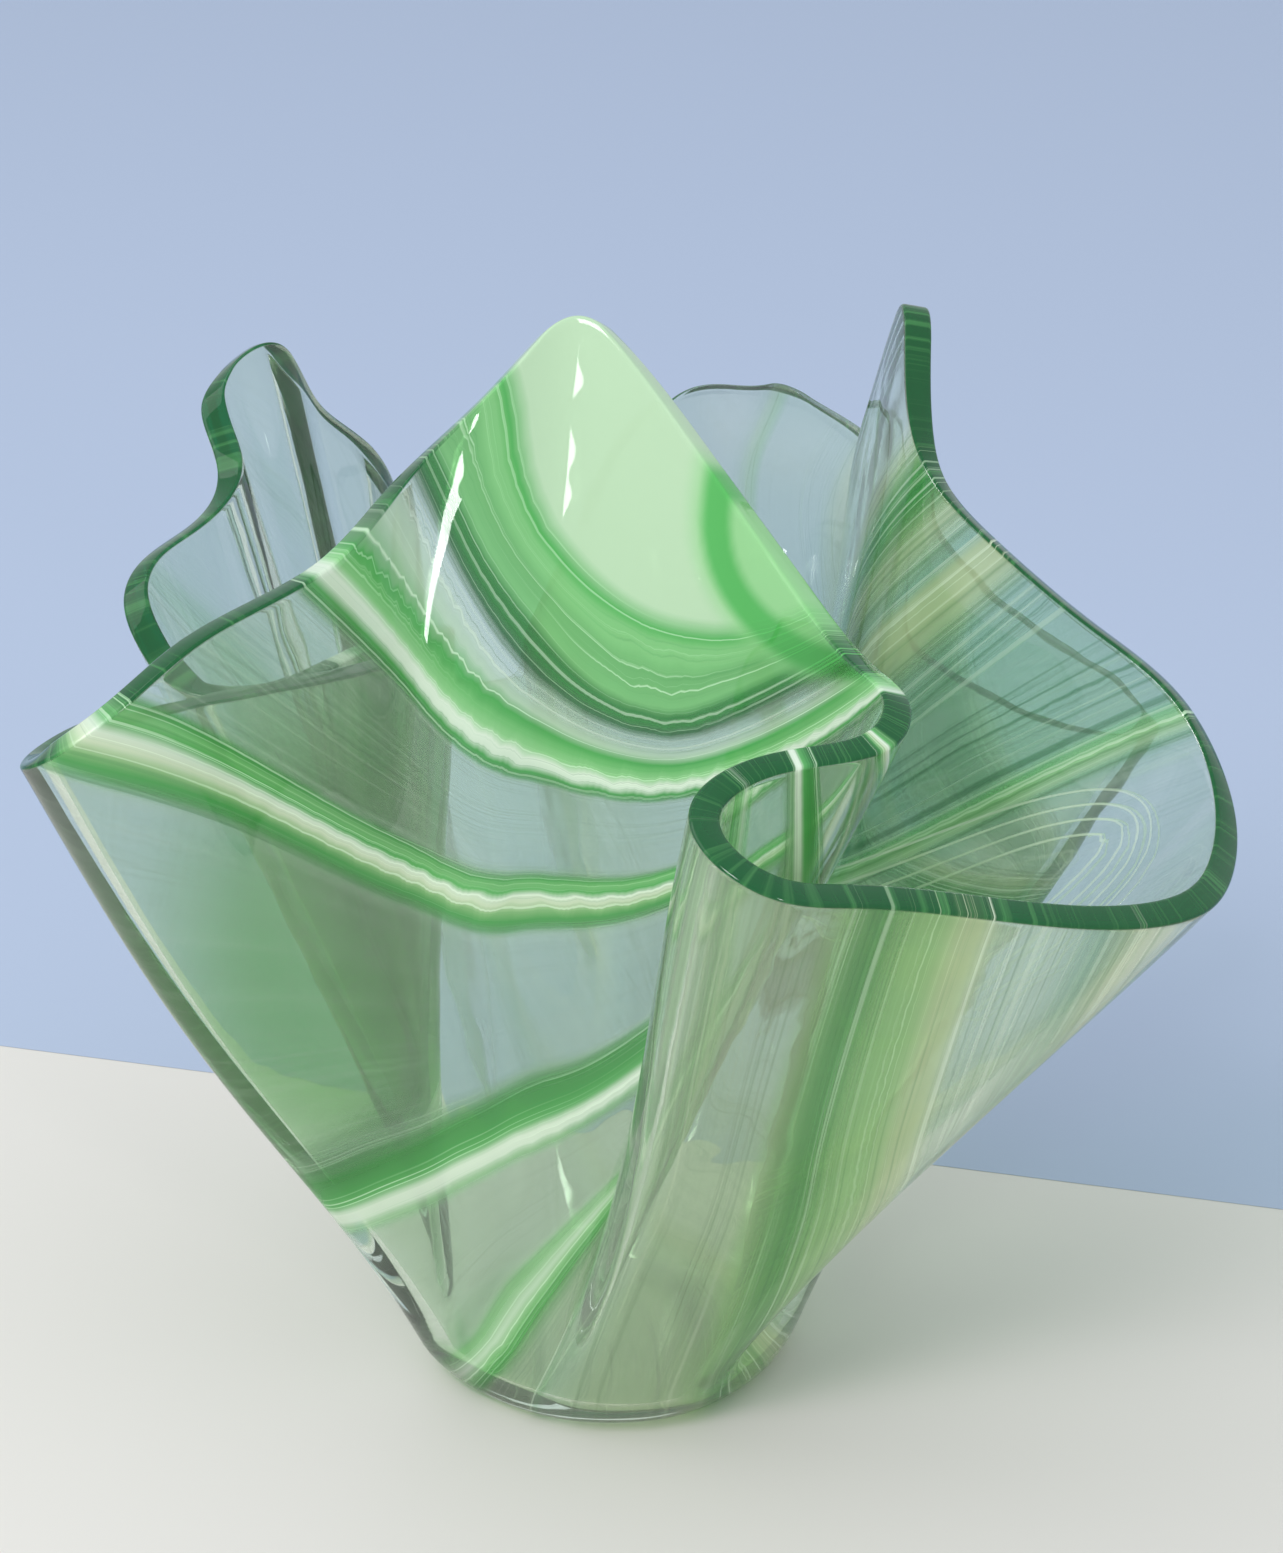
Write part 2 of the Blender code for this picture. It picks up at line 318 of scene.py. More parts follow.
# Streaks drawn on the flat sheet, in millimetres from its middle: the level of each streak line
# and the points that it passes, from the left or back edge round to the front edge.
STREAK_LINES = (
    # Border of the pale area at the front tip
    (
        0.0,
        (
            (-130, -106), (-111, -101), (-101, -95), (-92, -92), (-83, -93), (-76, -98),
            (-70, -107), (-66, -125),
        ),
    ),
    # Fine dark lines beside it
    (
        10.0,
        (
            (-130, -92), (-111, -88), (-95, -84), (-80, -82), (-71, -86), (-65, -96),
            (-60, -125),
        ),
    ),
    # First white band
    (
        20.0,
        (
            (-130, -71), (-111, -71), (-95, -71), (-84, -71.5), (-73, -74), (-66, -80),
            (-60, -89), (-56, -101), (-53, -125),
        ),
    ),
    # Second white band
    (
        50.0,
        (
            (-130, -31), (-111, -39), (-98, -44), (-86, -49), (-73, -55), (-63, -61.5),
            (-57, -69), (-52, -79), (-48, -95), (-45, -125),
        ),
    ),
    # Third white band
    (
        80.0,
        (
            (-130, 42), (-100, 38), (-75, 28), (-55, 14), (-46, 0), (-43.5, -12), (-40, -29),
            (-37, -44), (-35, -59), (-36, -80), (-39, -125),
        ),
    ),
    # Pale band at the left of the foot
    (
        100.0,
        (
            (-130, 75), (-100, 70), (-75, 58), (-45, 38), (-25, 14), (-18, -5), (-16.5, -18),
            (-20, -29), (-23, -42), (-25, -65), (-30, -95), (-34, -125),
        ),
    ),
    # Thin dark line at the left of the front lobe
    (
        115.0,
        (
            (-130, 105), (-90, 92), (-55, 68), (-25, 40), (-9, 14), (-6, -8), (-10, -25),
            (-13, -45), (-15, -62), (-20, -85), (-28, -125),
        ),
    ),
    # Cream line in the middle of the front lobe
    (
        140.0,
        (
            (-80, 130), (-35, 90), (0, 50), (18, 18), (24, -10), (23, -40), (19, -61),
            (14, -79), (8, -108), (6, -125),
        ),
    ),
    # Clear right flank of the front lobe
    (
        165.0,
        (
            (66, 140), (58, 118), (50, 92), (44, 55), (42, 15), (39, -20), (35, -50), (32, -80),
            (29, -125),
        ),
    ),
    # Loops in the right lobe
    (
        185.0,
        (
            (100, 140), (84, 116), (68, 88), (59, 55), (56, 15), (53, -25), (50, -60),
            (47, -90), (46, -125),
        ),
    ),
    # Mint streak in the right lobe
    (
        200.0,
        (
            (134, 128), (104, 106), (82, 84), (68, 52), (64, 15), (61, -30), (58.5, -70),
            (57.5, -90), (56, -125),
        ),
    ),
    # Cream lines below the right tip
    (
        220.0,
        (
            (136, 108), (104, 88), (86, 70), (76, 46), (75, 15), (73, -25), (73, -70),
            (78, -92), (85, -125),
        ),
    ),
    (
        236.0,
        (
            (144, 88), (112, 64), (96, 42), (88, 15), (86, -20), (85, -60), (90, -88),
            (99, -125),
        ),
    ),
    (
        260.0,
        (
            (154, 50), (126, 30), (114, 8), (109, -20), (106, -60), (114, -125),
        ),
    ),
)
# Within this reach of a line, levels count millimetres; the space between is stretched to fit.
STREAK_REACH = 7.0
LARGEST_REACH_SHARE = 0.4
LINE_SAMPLES = 160
PLACES_AT_ONCE = 4000
TINY = 1e-6
# A pale looping line in the right lobe and a green patch in the pale front panel.
LOOP_LINE = ((38, -74), (41, -88), (45, -98), (50, -100), (54, -92), (56.5, -78), (58, -66))
PATCH_LINE = ((-92, -120), (-87, -112), (-81, -106.5), (-74, -105), (-66, -107), (-58, -112))
# Areas of the flat sheet with few streaks: middle, radius and the share of the streaks kept.
CLEAR_AREA_FADE = 1.5
CLEAR_AREAS = (
    ((-105, 105), 80, 0.3),
    ((98, 98), 60, 0.4),
    ((0, 62), 80, 0.3),
    ((-26, 22), 42, 0.25),
)
# Painted shade: a deeper green painted on the wall of the left valley, where walls seen through
# one another look darker from the camera. It tints more than it hides: middle, radius and
# strength.
DOUBLE_WALL_SHADE_FADE = 2.0
DOUBLE_WALL_SHADE = ((-74, 14), 44, 0.85)


def smooth_line(points):
    """Evenly divided curve through the points, as an array of points."""
    points = np.array(points, float)
    steps = np.append(0.0, np.cumsum(np.linalg.norm(np.diff(points, axis=0), axis=1)))
    padded = np.vstack([2 * points[0] - points[1], points, 2 * points[-1] - points[-2]])
    found = []
    for mark in np.linspace(0.0, steps[-1], LINE_SAMPLES):
        i = min(int(np.searchsorted(steps, mark, side="right")) - 1, len(points) - 2)
        part = (mark - steps[i]) / (steps[i + 1] - steps[i])
        a, b, c, d = padded[i : i + 4]
        cubic = 3.0 * (b - c) + d - a
        square = 2.0 * a - 5.0 * b + 4.0 * c - d
        found.append(0.5 * (2.0 * b + (c - a) * part + square * part**2 + cubic * part**3))
    return np.array(found)


def signed_distance(places, line):
    """Distance of each flat place from the line, positive on the line's left."""
    towards = line[1:] - line[:-1]
    found = np.empty(len(places))
    for start in range(0, len(places), PLACES_AT_ONCE):
        some = places[start : start + PLACES_AT_ONCE]
        away = some[:, None, :] - line[None, :-1, :]
        part = np.sum(away * towards, axis=2) / np.sum(towards**2, axis=1)
        part = np.clip(part, 0.0, 1.0)
        gap = away - part[..., None] * towards
        size = np.linalg.norm(gap, axis=2)
        nearest = np.argmin(size, axis=1)
        rows = np.arange(len(some))
        step = towards[nearest]
        beside = gap[rows, nearest]
        cross = step[:, 0] * beside[:, 1] - step[:, 1] * beside[:, 0]
        found[start : start + PLACES_AT_ONCE] = np.sign(cross) * size[rows, nearest]
    return found


def streak_level(places):
    """Level of the streaks at each flat place, in millimetres beside each line."""
    levels = np.array([level for level, _ in STREAK_LINES])
    gaps = np.array([signed_distance(places, smooth_line(points)) for _, points in STREAK_LINES])
    passed = np.sum(gaps > 0.0, axis=0)
    count = len(levels)
    rows = np.arange(len(places))
    before = np.clip(passed - 1, 0, count - 1)
    after = np.clip(passed, 0, count - 1)
    low = np.abs(gaps[before, rows])
    high = np.abs(gaps[after, rows])
    span = levels[after] - levels[before]
    width = np.maximum(low + high, TINY)
    squeeze = np.minimum(width / np.maximum(span, TINY), 1.0)
    held = np.minimum(STREAK_REACH, LARGEST_REACH_SHARE * span)
    reach = held * squeeze
    stretched = (low - reach) / np.maximum(width - 2.0 * reach, TINY)
    middle = levels[before] + held + stretched * (span - 2.0 * held)
    near_low = levels[before] + low / squeeze
    near_high = levels[after] - high / squeeze
    between = np.where(low < reach, near_low, np.where(high < reach, near_high, middle))
    between = np.where(passed == 0, levels[0] - high, between)
    return np.where(passed == count, levels[-1] + low, between)


def fading_disc(places, middle, radius, fade):
    """One at the disc's middle, falling softly to nothing at its radius."""
    away = np.linalg.norm(places - np.array(middle, float), axis=1) / radius
    inside = np.clip(fade - fade * away, 0.0, 1.0)
    return inside * inside * (3.0 - 2.0 * inside)


def streak_share(places):
    """Share of the streaks' cover that each flat place keeps."""
    share = np.ones(len(places))
    for middle, radius, kept in CLEAR_AREAS:
        share *= 1.0 - (1.0 - kept) * fading_disc(places, middle, radius, CLEAR_AREA_FADE)
    return share


def double_wall_shade_strength(places):
    """Strength of the painted double-wall shade at each flat place."""
    middle, radius, strength = DOUBLE_WALL_SHADE
    return strength * fading_disc(places, middle, radius, DOUBLE_WALL_SHADE_FADE)


def glass_rows(sheet, length):
    """Rows of middle points with their flat distance, from the foot's middle to the rim."""
    angle = sheet.angle(length)
    corner = sheet.foot_corner(angle)
    inward = np.stack([-np.cos(angle), -np.sin(angle), np.zeros_like(angle)], axis=-1)
    flat = corner + FOOT_BEND_REACH * inward
    start = np.full_like(length, FOOT_CORNER_RADIUS + FOOT_BEND_REACH)
    low_wall = sheet.wall(length, start)
    middle = np.array([0.0, 0.0, SHEET_THICKNESS / 2.0])
    points = []
    reaches = []
    for row in range(1, FLAT_ROWS):
        part = row / FLAT_ROWS
        points.append(middle + part * (flat - middle))
        reaches.append(np.full_like(length, part * (FOOT_CORNER_RADIUS - FOOT_BEND_REACH)))
    for row in range(BEND_ROWS):
        part = row / BEND_ROWS
        bend = (1.0 - part) ** 2 * flat + 2.0 * part * (1.0 - part) * corner
        points.append(bend + part**2 * low_wall)
        reaches.append(start - 2.0 * FOOT_BEND_REACH * (1.0 - part))
    end = sheet.reach(angle) - EDGE_CORNER_RADIUS
    for row in range(WALL_ROWS):
        part = row / WALL_ROWS
        distance = start + part * (end - RIM_ROW_INSETS[0] - start)
        points.append(sheet.wall(length, distance))
        reaches.append(distance)
    for inset in (*RIM_ROW_INSETS, 0.0):
        points.append(sheet.wall(length, end - inset))
        reaches.append(end - inset)
    return np.array(points), np.array(reaches), angle


def unit(vectors):
    """The vectors, each one metre long."""
    return vectors / np.maximum(np.linalg.norm(vectors, axis=-1, keepdims=True), 1e-12)


def sheet_mesh():
    """Closed mesh of the sheet, with streak levels and other values from the flat sheet on its
    points.
    """
    sheet = Sheet()
    length = sheet.columns()
    points, reaches, angle = glass_rows(sheet, length)
    rows, count = reaches.shape
    along = np.roll(points, -1, axis=1) - np.roll(points, 1, axis=1)
    up = np.gradient(points, axis=0)
    normal = unit(np.cross(along, up))
    outward = unit(up[-1])
    half = SHEET_THICKNESS / 2.0
    flat_x = reaches * np.cos(angle) / MM
    flat_y = reaches * np.sin(angle) / MM
    places = np.stack([flat_x.ravel(), flat_y.ravel()], axis=-1)
    level = streak_level(places).reshape(rows, count)
    loop = signed_distance(places, smooth_line(LOOP_LINE)).reshape(rows, count)
    patch = signed_distance(places, smooth_line(PATCH_LINE)).reshape(rows, count)
    share = streak_share(places).reshape(rows, count)
    # Strength of the painted shade of walls seen through one another
    wall_shade = double_wall_shade_strength(places).reshape(rows, count)
    run = flat_x - flat_y
    inset = (reaches[-1] - reaches) / MM + 1.0
    # One closed profile per column: up the outer face, across the cut edge, down the inner face.
    rings = []
    sources = []
    insets = []
    for row in range(rows):
        rings.append(points[row] + half * normal[row])
        sources.append(row)
        insets.append(inset[row])
    corner = half - EDGE_CORNER_RADIUS
    for side in (1.0, -1.0):
        for step in range(EDGE_CORNER_ROWS + 1):
            turn = math.pi / 2.0 * step / EDGE_CORNER_ROWS
            if side < 0.0:
                turn = math.pi / 2.0 - turn
            lift = side * (corner + EDGE_CORNER_RADIUS * math.cos(turn))
            reach = EDGE_CORNER_RADIUS * math.sin(turn)
            rings.append(points[-1] + lift * normal[-1] + reach * outward)
            sources.append(rows - 1)
            insets.append(np.full(count, 1.0 - reach / EDGE_CORNER_RADIUS))
    for row in range(rows - 1, -1, -1):
        rings.append(points[row] - half * normal[row])
        sources.append(row)
        insets.append(inset[row])
    # The corner arcs begin and end on the faces' last rows.
    for extra in (rows, rows + 2 * EDGE_CORNER_ROWS + 1):
        rings[extra] = None
    kept = [i for i, ring in enumerate(rings) if ring is not None]
    rings = np.array([rings[i] for i in kept])
    sources = [sources[i] for i in kept]
    insets = np.array([insets[i] for i in kept])
    mesh = bpy.data.meshes.new("streaky_glass_sheet")
    work = bmesh.new()
    grid = [[work.verts.new(point) for point in ring] for ring in rings]
    poles = [work.verts.new((0.0, 0.0, z)) for z in (0.0, SHEET_THICKNESS)]
    for low, high in zip(grid, grid[1:]):
        for i in range(count):
            j = (i + 1) % count
            work.faces.new((low[i], low[j], high[j], high[i]))
    for pole, ring in ((poles[0], grid[0]), (poles[1], grid[-1])):
        for i in range(count):
            work.faces.new((pole, ring[(i + 1) % count], ring[i]))
    bmesh.ops.recalc_face_normals(work, faces=work.faces)
    work.to_mesh(mesh)
    work.free()
    mesh.shade_smooth()
    columns = [level, run, loop, patch, share, wall_shade]
    spread = [np.append(column[sources].ravel(), [column[0, 0]] * 2) for column in columns]
    write_vectors(mesh, "flow", spread[0], spread[1], np.append(insets.ravel(), POLE_INSETS))
    write_vectors(mesh, "marks", spread[2], spread[3], spread[4])
    # The painted double-wall shade, kept three times
    write_vectors(mesh, "painted_double_wall_shade", spread[5], spread[5], spread[5])
    return mesh


def write_vectors(mesh, name, x, y, z):
    """Keep three numbers per point under this name, for the material."""
    made = mesh.attributes.new(name, "FLOAT_VECTOR", "POINT")
    made.data.foreach_set("vector", np.stack([x, y, z], axis=-1).astype(np.float32).ravel())


# Colours of the glass, as shown on a screen
MINT = (200, 230, 190)
WHITE = (232, 246, 224)
CREAM = (214, 230, 184)
PALE_GREEN = (150, 220, 142)
BRIGHT_GREEN = (92, 192, 96)
MID_GREEN = (90, 172, 94)
DARK_GREEN = (48, 122, 64)
# Painted shade: the deeper green of walls seen through one another
DOUBLE_WALL_GREEN = (104, 198, 80)
LEAF_GREEN = (182, 224, 158)
OLIVE = (218, 230, 194)
GREY_GREEN = (228, 243, 226)
BLUE_GREEN = (164, 208, 184)
LILAC = (238, 244, 242)
EDGE_GREEN = (0, 88, 38)
CLEAR = (229, 241, 228)

# Streak colours across the sheet: level, colour and how much it hides.
NEAR_PROFILE = (
    (-40.0, MINT, 0.93),
    (-0.5, MINT, 0.93),
    (0.5, BRIGHT_GREEN, 0.90),
    (1.6, BRIGHT_GREEN, 0.88),
    (2.6, PALE_GREEN, 0.84),
    (4.6, PALE_GREEN, 0.80),
    (5.6, MID_GREEN, 0.76),
    (6.4, PALE_GREEN, 0.72),
    (7.6, PALE_GREEN, 0.70),
    (8.4, MID_GREEN, 0.70),
    (9.4, DARK_GREEN, 0.68),
    (10.2, MID_GREEN, 0.64),
    (11.2, DARK_GREEN, 0.58),
    (11.8, GREY_GREEN, 0.28),
    (13.6, GREY_GREEN, 0.24),
    (14.0, WHITE, 0.72),
    (14.5, OLIVE, 0.40),
    (14.9, WHITE, 0.66),
    (15.4, BRIGHT_GREEN, 0.74),
    (17.0, BRIGHT_GREEN, 0.80),
    (17.8, PALE_GREEN, 0.84),
    (18.7, PALE_GREEN, 0.88),
    (19.2, WHITE, 0.95),
    (21.2, WHITE, 0.94),
    (21.8, BRIGHT_GREEN, 0.80),
    (23.6, MID_GREEN, 0.62),
    (24.8, GREY_GREEN, 0.20),
    (43.4, GREY_GREEN, 0.16),
    (44.4, MID_GREEN, 0.58),
    (45.4, BRIGHT_GREEN, 0.74),
    (46.4, PALE_GREEN, 0.74),
    (47.6, BRIGHT_GREEN, 0.80),
)
MIDDLE_PROFILE = (
    (47.6, BRIGHT_GREEN, 0.80),
    (48.8, WHITE, 0.93),
    (50.8, CREAM, 0.90),
    (51.6, BRIGHT_GREEN, 0.80),
    (53.6, MID_GREEN, 0.66),
    (55.4, GREY_GREEN, 0.14),
    (64.0, LILAC, 0.08),
    (71.6, GREY_GREEN, 0.12),
    (73.0, MID_GREEN, 0.62),
    (75.0, MID_GREEN, 0.74),
    (77.4, BRIGHT_GREEN, 0.80),
    (78.6, WHITE, 0.92),
    (80.8, WHITE, 0.88),
    (81.6, BRIGHT_GREEN, 0.46),
    (83.0, GREY_GREEN, 0.12),
    (94.6, GREY_GREEN, 0.14),
    (96.6, PALE_GREEN, 0.50),
    (98.6, WHITE, 0.72),
    (100.2, PALE_GREEN, 0.60),
    (102.4, BRIGHT_GREEN, 0.44),
    (104.6, OLIVE, 0.20),
    (112.4, OLIVE, 0.22),
    (113.4, WHITE, 0.40),
    (114.6, MID_GREEN, 0.46),
    (115.6, GREY_GREEN, 0.24),
    (121.0, OLIVE, 0.24),
)
FAR_PROFILE = (
    (121.0, OLIVE, 0.24),
    (126.4, OLIVE, 0.26),
    (127.8, LEAF_GREEN, 0.44),
    (129.6, MID_GREEN, 0.50),
    (131.6, LEAF_GREEN, 0.54),
    (134.6, LEAF_GREEN, 0.60),
    (135.6, CREAM, 0.72),
    (137.0, CREAM, 0.58),
    (138.0, CREAM, 0.72),
    (139.6, GREY_GREEN, 0.38),
    (148.0, GREY_GREEN, 0.30),
    (151.0, BLUE_GREEN, 0.36),
    (156.0, OLIVE, 0.46),
    (162.0, GREY_GREEN, 0.30),
    (170.0, LILAC, 0.14),
    (192.0, LILAC, 0.10),
    (197.0, BLUE_GREEN, 0.24),
    (199.0, MINT, 0.66),
    (200.8, PALE_GREEN, 0.62),
    (202.2, BLUE_GREEN, 0.32),
    (215.0, BLUE_GREEN, 0.34),
    (218.2, CREAM, 0.62),
    (221.4, CREAM, 0.58),
    (222.6, BLUE_GREEN, 0.42),
    (226.6, CREAM, 0.54),
    (229.6, MID_GREEN, 0.58),
    (233.0, MID_GREEN, 0.54),
    (235.6, CREAM, 0.54),
    (238.6, GREY_GREEN, 0.26),
    (246.0, LILAC, 0.12),
    (280.0, LILAC, 0.10),
)
# A colour ramp holds 32 stops at most, so the profile comes in three.
PROFILES = (NEAR_PROFILE, MIDDLE_PROFILE, FAR_PROFILE)
PROFILE_START = -40.0
PROFILE_END = 280.0

# Patterns that run along the streaks: change per level, change along the run, and where in the
# noise the pattern lies.
WANDER_PATTERN = (0.05, 0.012, 0.0)
LINE_PATTERN = (0.9, 0.002, 3.0)
THREAD_PATTERN = (1.7, 0.004, 9.0)
FLECK_PATTERN = (1.2, 0.3, 7.0)
# How many levels the streaks wander and their fine lines shift.
WANDER_SIZE = 3.0
LINE_SIZE = 0.6

# Each range below is read as: from nothing at the first value to full at the second.
# Threads start past the pale border, and pale ones lie high and deep ones low in the noise.
THREADED_LEVELS = (-2.0, 3.0)
PALE_THREAD_RANGE = (0.54, 0.64)
DEEP_THREAD_RANGE = (0.46, 0.36)
THREAD_TINT = 0.45
PALE_THREAD_HIDING = 0.24
DEEP_THREAD_HIDING = 0.14
# Threads show less in clear glass: hiding of the streak, then share of the thread.
MILKY_RANGE = (0.08, 0.4, 0.3, 1.0)
# How much the painted double-wall shade hides
DOUBLE_WALL_SHADE_HIDING = 0.3
COLOURED_RANGE = (0.02, 0.5)

# Millimetres from the patch's line, and the tint around it.
PATCH_HALO_RANGE = (4.5, 1.0)
PATCH_CORE_RANGE = (2.6, 0.8)
PATCH_HALO_TINT = 0.8
# Loops: turns of the wave per millimetre, how thin its lines are, and where they end.
LOOP_TURNS = 3.6
LOOP_LINE_RANGE = (0.72, 0.97)
LOOP_MIDDLE = 1.5
LOOP_REACH_RANGE = (4.5, 3.0)
LOOP_HIDING = 0.6

# Cut edge: millimetres from it, its lighter flecks, and streaks so dense that they keep their
# colour.
EDGE_RANGE = (1.1, 0.6)
FLECK_RANGE = (0.5, 0.75, 0.0, 0.45)
DENSE_RANGE = (0.62, 0.90)
EDGE_HIDING = 0.95
MOST_HIDING = 0.97

GLASS_ROUGHNESS = 0.015
GLASS_IOR = 1.5
# Small waves of the fire-polished surface
RIPPLES_PER_METRE = 110.0
RIPPLE_HEIGHT = 0.12 * MM
# What a lamp's light keeps through a part that hides everything
DEEP_SHADOW = (0.02, 0.03, 0.02, 1.0)


def linear(colour):
    """Linear RGB of a screen colour."""
    parts = [c / 255.0 for c in colour]
    return [p / 12.92 if p <= 0.04045 else ((p + 0.055) / 1.055) ** 2.4 for p in parts]


def opaque(colour):
    """Linear RGBA of a screen colour."""
    return (*linear(colour), 1.0)


class Nodes:
    """Short ways to add and join shader nodes."""

    def __init__(self, tree):
        self.tree = tree

    def add(self, kind, **settings):
        node = self.tree.nodes.new(kind)
        for name, value in settings.items():
            setattr(node, name, value)
        return node

    def feed(self, socket, value):
        if isinstance(value, bpy.types.NodeSocket):
            self.tree.links.new(value, socket)
        else:
            socket.default_value = value

    def math(self, operation, *values):
        node = self.add("ShaderNodeMath", operation=operation)
        for socket, value in zip(node.inputs, values):
            self.feed(socket, value)
        return node.outputs[0]

    def mapped(self, value, low, high, start=0.0, end=1.0):
        node = self.add("ShaderNodeMapRange", clamp=True, interpolation_type="SMOOTHSTEP")
        for socket, entry in zip(node.inputs, (value, low, high, start, end)):
            self.feed(socket, entry)
        return node.outputs[0]

    def mixed(self, factor, first, second):
        node = self.add("ShaderNodeMix", data_type="RGBA")
        self.feed(node.inputs[0], factor)
        self.feed(node.inputs[6], first)
        self.feed(node.inputs[7], second)
        return node.outputs[2]

    def blended(self, factor, first, second):
        node = self.add("ShaderNodeMix", data_type="FLOAT")
        self.feed(node.inputs[0], factor)
        self.feed(node.inputs[2], first)
        self.feed(node.inputs[3], second)
        return node.outputs[0]

    def noise(self, vector, scale, detail=3.0, roughness=0.55):
        node = self.add("ShaderNodeTexNoise")
        self.feed(node.inputs["Vector"], vector)
        node.inputs["Scale"].default_value = scale
        node.inputs["Detail"].default_value = detail
        node.inputs["Roughness"].default_value = roughness
        return node.outputs["Fac"]

    def vector(self, x, y, z):
        node = self.add("ShaderNodeCombineXYZ")
        for socket, value in zip(node.inputs, (x, y, z)):
            self.feed(socket, value)
        return node.outputs[0]

    def along_streaks(self, level, run, pattern):
        """Place in a noise that is drawn out along the streaks."""
        per_level, per_run, start = pattern
        across = self.math("MULTIPLY", level, per_level)
        return self.vector(across, self.math("MULTIPLY", run, per_run), start)

    def parts(self, name):
        attribute = self.add("ShaderNodeAttribute", attribute_name=name)
        split = self.add("ShaderNodeSeparateXYZ")
        self.feed(split.inputs[0], attribute.outputs["Vector"])
        return split.outputs

    def profile(self, place, stops):
        """Colour ramp through the stops, with how much it hides as its alpha."""
        node = self.add("ShaderNodeValToRGB")
        self.feed(node.inputs[0], place)
        ramp = node.color_ramp
        span = PROFILE_END - PROFILE_START
        while len(ramp.elements) < len(stops):
            ramp.elements.new(1.0)
        for element, (level, _, _) in zip(ramp.elements, stops):
            element.position = (level - PROFILE_START) / span
        for element, (_, colour, hiding) in zip(ramp.elements, stops):
            element.color = (*linear(colour), hiding)
        return node.outputs


def streak_bands(n, level, run):
    """Colour and hiding of the drawn streaks, which wander a little and carry fine lines."""
    wander = n.noise(n.along_streaks(level, run, WANDER_PATTERN), 1.0, detail=2.0)
    shift = n.math("MULTIPLY", n.math("SUBTRACT", wander, 0.5), WANDER_SIZE)
    lines = n.noise(n.along_streaks(level, run, LINE_PATTERN), 1.0, detail=3.5, roughness=0.6)
    jitter = n.math("MULTIPLY", n.math("SUBTRACT", lines, 0.5), LINE_SIZE)
    wandered = n.math("ADD", n.math("ADD", level, shift), jitter)
    place = n.add("ShaderNodeMapRange", clamp=True)
    for socket, value in zip(place.inputs, (wandered, PROFILE_START, PROFILE_END, 0.0, 1.0)):
        n.feed(socket, value)
    colour, hiding = n.profile(place.outputs[0], NEAR_PROFILE)
    for profile in PROFILES[1:]:
        passed = n.math("GREATER_THAN", wandered, profile[0][0])
        later = n.profile(place.outputs[0], profile)
        colour = n.mixed(passed, colour, later[0])
        hiding = n.blended(passed, hiding, later[1])
    return colour, hiding


def with_threads(n, level, run, wall_shade, colour, hiding):
    """Fine pale and deep threads along the streaks, and none under the painted double-wall
    shade.
    """
    place = n.along_streaks(level, run, THREAD_PATTERN)
    threads = n.noise(place, 1.0, detail=3.0, roughness=0.6)
    outside = n.math("SUBTRACT", 1.0, wall_shade)
    threaded = n.math("MULTIPLY", n.mapped(level, *THREADED_LEVELS), outside)
    pale = n.math("MULTIPLY", n.mapped(threads, *PALE_THREAD_RANGE), threaded)
    deep = n.math("MULTIPLY", n.mapped(threads, *DEEP_THREAD_RANGE), threaded)
    colour = n.mixed(n.math("MULTIPLY", pale, THREAD_TINT), colour, opaque(WHITE))
    colour = n.mixed(n.math("MULTIPLY", deep, THREAD_TINT), colour, opaque(DARK_GREEN))
    milky = n.mapped(hiding, *MILKY_RANGE)
    for mask, cover in ((pale, PALE_THREAD_HIDING), (deep, DEEP_THREAD_HIDING)):
        added = n.math("MULTIPLY", n.math("MULTIPLY", mask, cover), milky)
        hiding = n.math("ADD", hiding, added)
    return colour, hiding


def with_marks(n, loop, patch, colour, hiding):
    """The green patch in the pale panel and the loops in the right lobe."""
    halo = n.mapped(patch, *PATCH_HALO_RANGE)
    core = n.mapped(n.math("ABSOLUTE", patch), *PATCH_CORE_RANGE)
    colour = n.mixed(n.math("MULTIPLY", halo, PATCH_HALO_TINT), colour, opaque(PALE_GREEN))
    colour = n.mixed(core, colour, opaque(BRIGHT_GREEN))
    wave = n.math("COSINE", n.math("MULTIPLY", loop, LOOP_TURNS))
    beside = n.math("ABSOLUTE", n.math("ADD", loop, -LOOP_MIDDLE))
    near = n.mapped(beside, *LOOP_REACH_RANGE)
    mask = n.math("MULTIPLY", n.mapped(wave, *LOOP_LINE_RANGE), near)
    colour = n.mixed(mask, colour, opaque(WHITE))
    hiding = n.math("MAXIMUM", hiding, n.math("MULTIPLY", mask, LOOP_HIDING))
    return colour, hiding


def with_cut_edge(n, level, run, edge, colour, hiding):
    """Deep green on the cut edge, because there the sheet is seen through its width."""
    mask = n.mapped(edge, *EDGE_RANGE)
    flecks = n.noise(n.along_streaks(level, run, FLECK_PATTERN), 1.0)
    flecked = n.mapped(flecks, *FLECK_RANGE)
    deep = n.mixed(flecked, opaque(EDGE_GREEN), opaque(MID_GREEN))
    dense = n.mapped(hiding, *DENSE_RANGE)
    colour = n.mixed(mask, colour, n.mixed(dense, deep, colour))
    hiding = n.math("MAXIMUM", hiding, n.math("MULTIPLY", mask, EDGE_HIDING))
    return colour, n.math("MINIMUM", hiding, MOST_HIDING)


